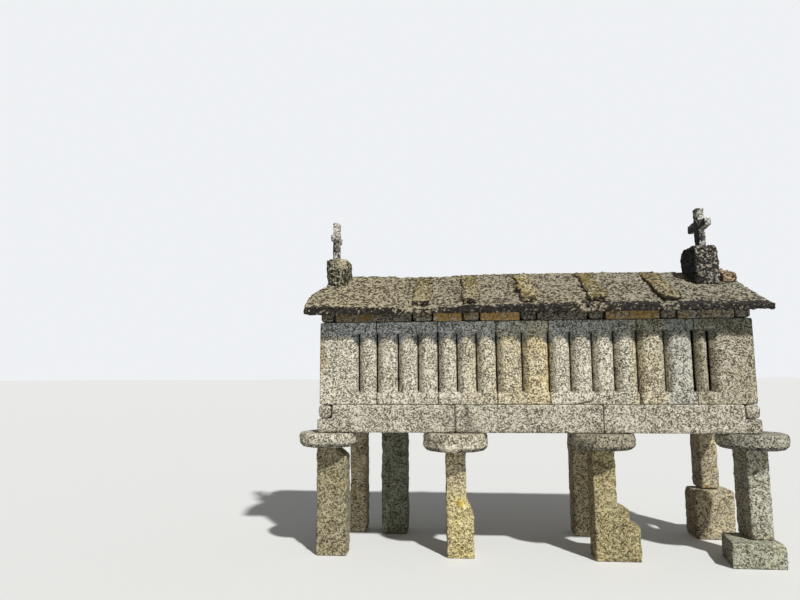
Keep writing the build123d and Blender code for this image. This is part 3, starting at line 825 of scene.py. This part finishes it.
def stain_end_stone(skin):
    """Pinkish brown."""
    skin.cover[:, 3] = 0.15 + 0.25 * skin.field(LUMP_SIZE, 5)
    skin.tone *= END_STONE_TONE


def thin_arms(skin):
    """Thins the cross's arms towards their ends."""
    middle = (skin.points[:, 1].min() + skin.points[:, 1].max()) / 2
    out = np.abs(skin.points[:, 1] - middle)
    arm = out > ARM_ROOT
    level = (skin.points[arm, 2].min() + skin.points[arm, 2].max()) / 2
    share = ARM_THINNING * arm * ramp(out, ARM_ROOT, ARM_THIN)
    skin.points[:, 2] -= share * (skin.points[:, 2] - level)


def stain_cross(skin):
    """Grey with patches of black crust, and painted shade below the arms, on the left and on the
    undersides.
    """
    patch = skin.field(LUMP_SIZE, 5)
    low, high = skin.points[:, 2].min(), skin.points[:, 2].max()
    share = ramp(skin.points[:, 2], low, high)
    # Painted shade: crust on the shaft below the arms, where their shadow falls, and on the left
    # side, with a darker tone on left sides and undersides
    left = ramp(-skin.facing[:, 0], 0.0, 0.6)
    skin.cover[:, 3] = 0.12 + 0.30 * ramp(share, 0.66, 0.50) + 0.30 * patch + 0.35 * left
    tint(skin, np.maximum(left, ramp(-skin.facing[:, 2], 0.2, 0.7)), PAINTED_SHADE_TONE)
    skin.tone *= CROSS_TONES[skin.node]


def cut_back(skin):
    """Draws in the plinth's left side towards the back."""
    low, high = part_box(skin.node)
    share = ramp(skin.points[:, 1], low.y, high.y)
    edge = low.x + PLINTH_CUT * share
    squeeze = (high.x - edge) / (high.x - low.x)
    skin.points[:, 0] = high.x - (high.x - skin.points[:, 0]) * squeeze


def stain_leg(skin):
    """Yellowish lichen in patches, with painted shade on the left side."""
    patch = skin.field(PATCH_SIZE, 5)
    tint(skin, 0.5 + 0.5 * ramp(patch, -0.2, 0.6), WARM)
    skin.cover[:, 3] = 0.2 * ramp(patch, 0.3, 0.8)
    # Painted shade on the left side
    tint(skin, ramp(-skin.facing[:, 0], 0.4, 0.8), LEG_SHADE_TONE)
    skin.tone *= LEG_TONES.get(skin.node, OTHER_LEG_TONE)


def stain_second_leg(skin):
    """Yellow lichen, greyer towards the head where a cool shade is painted, with a brighter spot
    near the foot.
    """
    stain_leg(skin)
    share, pale = spot(skin.points, *LEG_SPOT), spot(skin.points, *LEG_SPOT_HEART)
    # Painted cool shade towards the head, where the cap's shadow falls
    tint(skin, ramp(skin.points[:, 2], 0.75, 1.05), LEG_HEAD_SHADE_TONE)
    skin.cover[:, 2] = 0.5 * share * (1.0 - pale)
    skin.cover[:, 0] = 0.8 * pale
    tint(skin, share, LEG_SPOT_TONE)


def stain_last_leg(skin):
    """Yellowish lichen, with one orange spot above the plinth."""
    stain_leg(skin)
    skin.cover[:, 2] = 0.8 * spot(skin.points, *LAST_LEG_SPOT)


def stain_cap(skin):
    """Grey on top with pale patches, and painted shade on the underside."""
    skin.cover[:, 0] = 0.2 * ramp(skin.field(PATCH_SIZE, 5), 0.0, 0.6)
    # Painted shade on the underside
    skin.cover[:, 3] = 0.5 * ramp(-skin.facing[:, 2], 0.1, 0.6)
    skin.tone *= CAP_TONES[skin.node]


def stain_second_cap(skin):
    """Grey, with a white patch on the lower rim."""
    stain_cap(skin)
    share = np.maximum.reduce([spot(skin.points, *place_and_size) for place_and_size in CAP_SPOTS])
    skin.cover[:, 0] = np.maximum(skin.cover[:, 0], 0.85 * share)
    # The white patch clears the painted shade of the underside on the rim
    skin.cover[:, 3] *= 1.0 - share


# Operators, one for each group of like pieces

class GranaryOperator:
    """What the granary's operators share."""

    bl_options = {"REGISTER", "UNDO"}

    def execute(self, context):
        self.make(context.scene.granary_weather, context.scene.granary_colours)
        return {"FINISHED"}


class GRANARY_OT_walls(GranaryOperator, bpy.types.Operator):
    """Weathers the slotted wall slabs in front, behind and at the gables"""

    bl_idname = "granary.walls"
    bl_label = "Wall slabs"

    def make(self, weather, colours):
        material = lichen_stone("wall granite", colours, level=0.94, grain=62.0, blotch=0.35,
                                contrast=0.75)
        for node in nodes_named("front_slab"):
            dressed(node, weather.front_step, material, stain_wall, slotted=True,
                    shape=round_slats)
        for node in nodes_named("back_slab"):
            dressed(node, weather.back_step, material, stain_wall, slotted=True,
                    shape=round_slats)
        for node in nodes_named("left_gable", "right_gable"):
            dressed(node, weather.back_step, material, stain_wall, slotted=True)


class GRANARY_OT_sills(GranaryOperator, bpy.types.Operator):
    """Weathers the ring of sill beams and the floor slabs"""

    bl_idname = "granary.sills"
    bl_label = "Sills and floor"

    def make(self, weather, colours):
        material = lichen_stone("sill granite", colours, level=0.82, grain=62.0, blotch=0.35,
                                contrast=0.75)
        for node in nodes_named("front_sill"):
            dressed(node, weather.front_step, material, stain_sill, butted=True)
        for node in nodes_named("back_sill", "floor"):
            dressed(node, weather.back_step, material, stain_sill, butted=True)
        for node in nodes_named("left_end_sill", "right_end_sill"):
            dressed(node, weather.back_step, material, stain_sill)


class GRANARY_OT_course(GranaryOperator, bpy.types.Operator):
    """Weathers the top course of ties and stretchers"""

    bl_idname = "granary.course"
    bl_label = "Top course"

    def make(self, weather, colours):
        material = lichen_stone("course granite", colours, level=0.85, drift=0.2, contrast=0.7)
        dressed("front_stretchers", weather.front_step, material, stain_course)
        for node in ("tie_stones", "back_stretchers"):
            dressed(node, weather.back_step, material, stain_course)


class GRANARY_OT_roof(GranaryOperator, bpy.types.Operator):
    """Weathers the roof slabs and the cover strips over their joints"""

    bl_idname = "granary.roof"
    bl_label = "Roof"

    def make(self, weather, colours):
        material = lichen_stone("roof granite", colours, level=0.58, grain=36.0, contrast=1.7,
                                pitting=0.014, drawn=1.15)
        for node, step in (("front_roof_slabs", ROOF_STEP), ("back_roof_slabs", weather.back_step)):
            skin = Surface(node, step)
            skin.round_edges(passes=1)
            close_joints(skin)
            if node == "front_roof_slabs":
                break_end(skin)
            skin.roughen(dent=0.003, lump=0.012, crumb=0.016, raised=0.012, drawn=1.3)
            stain_roof(skin)
            skin.finish(material)
        for node, step in (("front_cover_strips", STRIP_STEP),
                           ("back_cover_strips", BACK_STRIP_STEP)):
            skin = Surface(node, step)
            wear_strip(skin)
            skin.round_edges(passes=7)
            skin.roughen(dent=0.008, lump=0.026, crumb=0.022, raised=0.014)
            stain_strip(skin)
            skin.finish(material)


class GRANARY_OT_crosses(GranaryOperator, bpy.types.Operator):
    """Weathers the crosses, their bases and the small end stone on the ridge"""

    bl_idname = "granary.crosses"
    bl_label = "Crosses"

    def make(self, weather, colours):
        crust = lichen_stone("base granite", colours, level=0.64, grain=40.0, pitting=0.012)
        pieces = {
            "left_cross_base": (swell, stain_left_base),
            "right_cross_base": (batter, stain_base),
            "ridge_end_stone": (None, stain_end_stone),
        }
        for node, (shape, stain) in pieces.items():
            skin = Surface(node, BASE_STEP)
            if shape:
                shape(skin)
            skin.round_edges(passes=4)
            skin.roughen(dent=0.010, lump=0.022, crumb=0.018, raised=0.020)
            stain(skin)
            skin.finish(crust)
        material = lichen_stone("cross granite", colours, level=0.95, grain=42.0, contrast=0.6)
        for node in ("left_cross", "right_cross"):
            skin = Surface(node, CROSS_STEP)
            thin_arms(skin)
            skin.round_edges(passes=4)
            skin.roughen(dent=0.006, lump=0.010, crumb=0.006, raised=0.009)
            stain_cross(skin)
            skin.finish(material)


class GRANARY_OT_legs(GranaryOperator, bpy.types.Operator):
    """Weathers the pillars, their round cap stones and the plinths"""

    bl_idname = "granary.legs"
    bl_label = "Pillars and caps"

    def make(self, weather, colours):
        material = lichen_stone("leg granite", colours, level=0.88, blotch=0.40, contrast=0.5)
        for node in nodes_named("front_pillar"):
            stain = stain_second_leg if node == "front_pillar_2" else stain_leg
            dressed(node, weather.front_step, material, stain, depth=1.6)
        dressed("front_plinth", weather.front_step, material, stain_leg, depth=1.6,
                shape=cut_back)
        for node in nodes_named("back_pillar", "back_plinth"):
            stain = stain_last_leg if node == "back_pillar_5" else stain_leg
            dressed(node, weather.back_step, material, stain, depth=1.6)
        caps = lichen_stone("cap granite", colours, level=0.87, blotch=0.40, contrast=0.6)
        for node in nodes_named("front_cap"):
            stain = stain_second_cap if node == "front_cap_2" else stain_cap
            dressed(node, weather.front_step, caps, stain, depth=2.0)


class GRANARY_OT_door(GranaryOperator, bpy.types.Operator):
    """Gives the door its weathered boards"""

    bl_idname = "granary.door"
    bl_label = "Door"

    def make(self, weather, colours):
        material = bpy.data.materials.new("door boards")
        material.use_nodes = True
        tree = material.node_tree
        tree.nodes.clear()
        where = place(tree, "ShaderNodeTexCoord").outputs["Object"]
        drawn = place(tree, "ShaderNodeMapping", {"Vector": where, "Scale": FIBRE_SCALE})
        fibre = noise_value(tree, drawn.outputs[0], scale=3.0, detail=5.0, rough=0.65)
        colour = speckled(tree, fibre, [
            (0.3, opaque(colours.wood, 0.35)), (0.7, opaque(colours.wood, 1.25))])
        relief = place(tree, "ShaderNodeBump", {
            "Height": fibre, "Strength": 0.6, "Distance": 0.003})
        shader = place(tree, "ShaderNodeBsdfPrincipled", {
            "Base Color": colour, "Roughness": 0.85, "Normal": relief.outputs["Normal"]})
        place(tree, "ShaderNodeOutputMaterial", {"Surface": shader.outputs[0]})
        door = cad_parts["door"]
        door.data.materials.clear()
        door.data.materials.append(material)


class GRANARY_OT_stage(bpy.types.Operator):
    """Sets the floor, the lights and the camera"""

    bl_idname = "granary.stage"
    bl_label = "Stage"
    bl_options = {"REGISTER", "UNDO"}

    def execute(self, context):
        stage = context.scene.granary_stage
        grid = bmesh.new()
        bmesh.ops.create_grid(grid, x_segments=1, y_segments=1, size=stage.floor_size / 2)
        mesh = bpy.data.meshes.new("floor")
        grid.to_mesh(mesh)
        grid.free()
        floor = bpy.data.objects.new("floor", mesh)
        context.scene.collection.objects.link(floor)
        mesh.materials.append(self.floor_material())
        self.light_key(context, stage)
        self.light_fill(context, stage)
        self.set_camera(context, stage)
        context.scene.view_settings.view_transform = "Standard"
        return {"FINISHED"}

    def floor_material(self):
        """Plain pale floor."""
        material = bpy.data.materials.new("pale floor")
        material.use_nodes = True
        shader = material.node_tree.nodes["Principled BSDF"]
        shader.inputs["Base Color"].default_value = opaque(FLOOR_COLOUR)
        shader.inputs["Roughness"].default_value = 0.9
        return material

    def light_key(self, context, stage):
        """A broad soft key light from the upper right in front."""
        lamp = bpy.data.lights.new("key", "SUN")
        lamp.energy = stage.key_strength
        lamp.angle = stage.key_softness
        key = bpy.data.objects.new("key", lamp)
        height, side = stage.key_height, stage.key_side
        level = math.cos(height)
        towards = Vector((math.sin(side) * level, -math.cos(side) * level, math.sin(height)))
        key.rotation_euler = towards.to_track_quat("Z", "Y").to_euler()
        context.scene.collection.objects.link(key)

    def light_fill(self, context, stage):
        """An even light from all sides, and a pale background behind the granary."""
        world = bpy.data.worlds.new("studio")
        world.use_nodes = True
        tree = world.node_tree
        tree.nodes.clear()
        path = place(tree, "ShaderNodeLightPath")
        seen = maths(tree, "MAXIMUM", path.outputs["Is Camera Ray"], path.outputs["Is Glossy Ray"])
        even = place(tree, "ShaderNodeBackground", {
            "Color": opaque(FILL_COLOUR), "Strength": stage.fill_strength})
        backdrop = place(tree, "ShaderNodeBackground", {
            "Color": opaque(BACKDROP_COLOUR), "Strength": 1.0})
        mixed = place(tree, "ShaderNodeMixShader", {
            0: seen, 1: even.outputs[0], 2: backdrop.outputs[0]})
        place(tree, "ShaderNodeOutputWorld", {"Surface": mixed.outputs[0]})
        context.scene.world = world

    def set_camera(self, context, stage):
        """The camera at the photograph's place, turned by its yaw, pitch and roll."""
        yaw, pitch, roll = (math.radians(angle) for angle in CAMERA_TURN)
        ahead = Vector((
            math.sin(yaw) * math.cos(pitch), math.cos(yaw) * math.cos(pitch), math.sin(pitch)))
        level = Vector((math.cos(yaw), -math.sin(yaw), 0.0))
        upright = level.cross(ahead)
        right = level * math.cos(roll) + upright * math.sin(roll)
        up = upright * math.cos(roll) - level * math.sin(roll)
        lens = bpy.data.cameras.new("camera")
        lens.lens = stage.lens
        lens.sensor_width = SENSOR_WIDTH
        lens.clip_end = VIEW_REACH
        camera = bpy.data.objects.new("camera", lens)
        turn = Matrix((right, up, -ahead)).transposed().to_4x4()
        camera.matrix_world = Matrix.Translation(CAMERA_PLACE) @ turn
        context.scene.collection.objects.link(camera)
        context.scene.camera = camera


class GRANARY_PT_panel(bpy.types.Panel):
    """Lists the granary's steps in the sidebar"""

    bl_idname = "GRANARY_PT_panel"
    bl_label = "Raised granary"
    bl_space_type = "VIEW_3D"
    bl_region_type = "UI"
    bl_category = "Granary"

    def draw(self, context):
        layout = self.layout
        scene = context.scene
        for group in (scene.granary_weather, scene.granary_colours, scene.granary_stage):
            box = layout.box()
            for name in group.__annotations__:
                box.prop(group, name)
        for operator in OPERATORS:
            layout.operator(operator.bl_idname)


OPERATORS = (
    GRANARY_OT_stage, GRANARY_OT_legs, GRANARY_OT_sills, GRANARY_OT_walls, GRANARY_OT_course,
    GRANARY_OT_roof, GRANARY_OT_crosses, GRANARY_OT_door,
)
GROUPS = {
    "granary_weather": GranaryWeather,
    "granary_colours": GranaryColours,
    "granary_stage": GranaryStage,
}


def register():
    for group in GROUPS.values():
        bpy.utils.register_class(group)
    for name, group in GROUPS.items():
        setattr(bpy.types.Scene, name, PointerProperty(type=group))
    for operator in OPERATORS:
        bpy.utils.register_class(operator)
    bpy.utils.register_class(GRANARY_PT_panel)


def unregister():
    bpy.utils.unregister_class(GRANARY_PT_panel)
    for operator in reversed(OPERATORS):
        bpy.utils.unregister_class(operator)
    for name in GROUPS:
        delattr(bpy.types.Scene, name)
    for group in GROUPS.values():
        bpy.utils.unregister_class(group)


def main():
    """Registers the add-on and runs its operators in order."""
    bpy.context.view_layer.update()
    register()
    for operator in OPERATORS:
        group, name = operator.bl_idname.split(".")
        getattr(getattr(bpy.ops, group), name)()


if __name__ == "__main__":
    main()
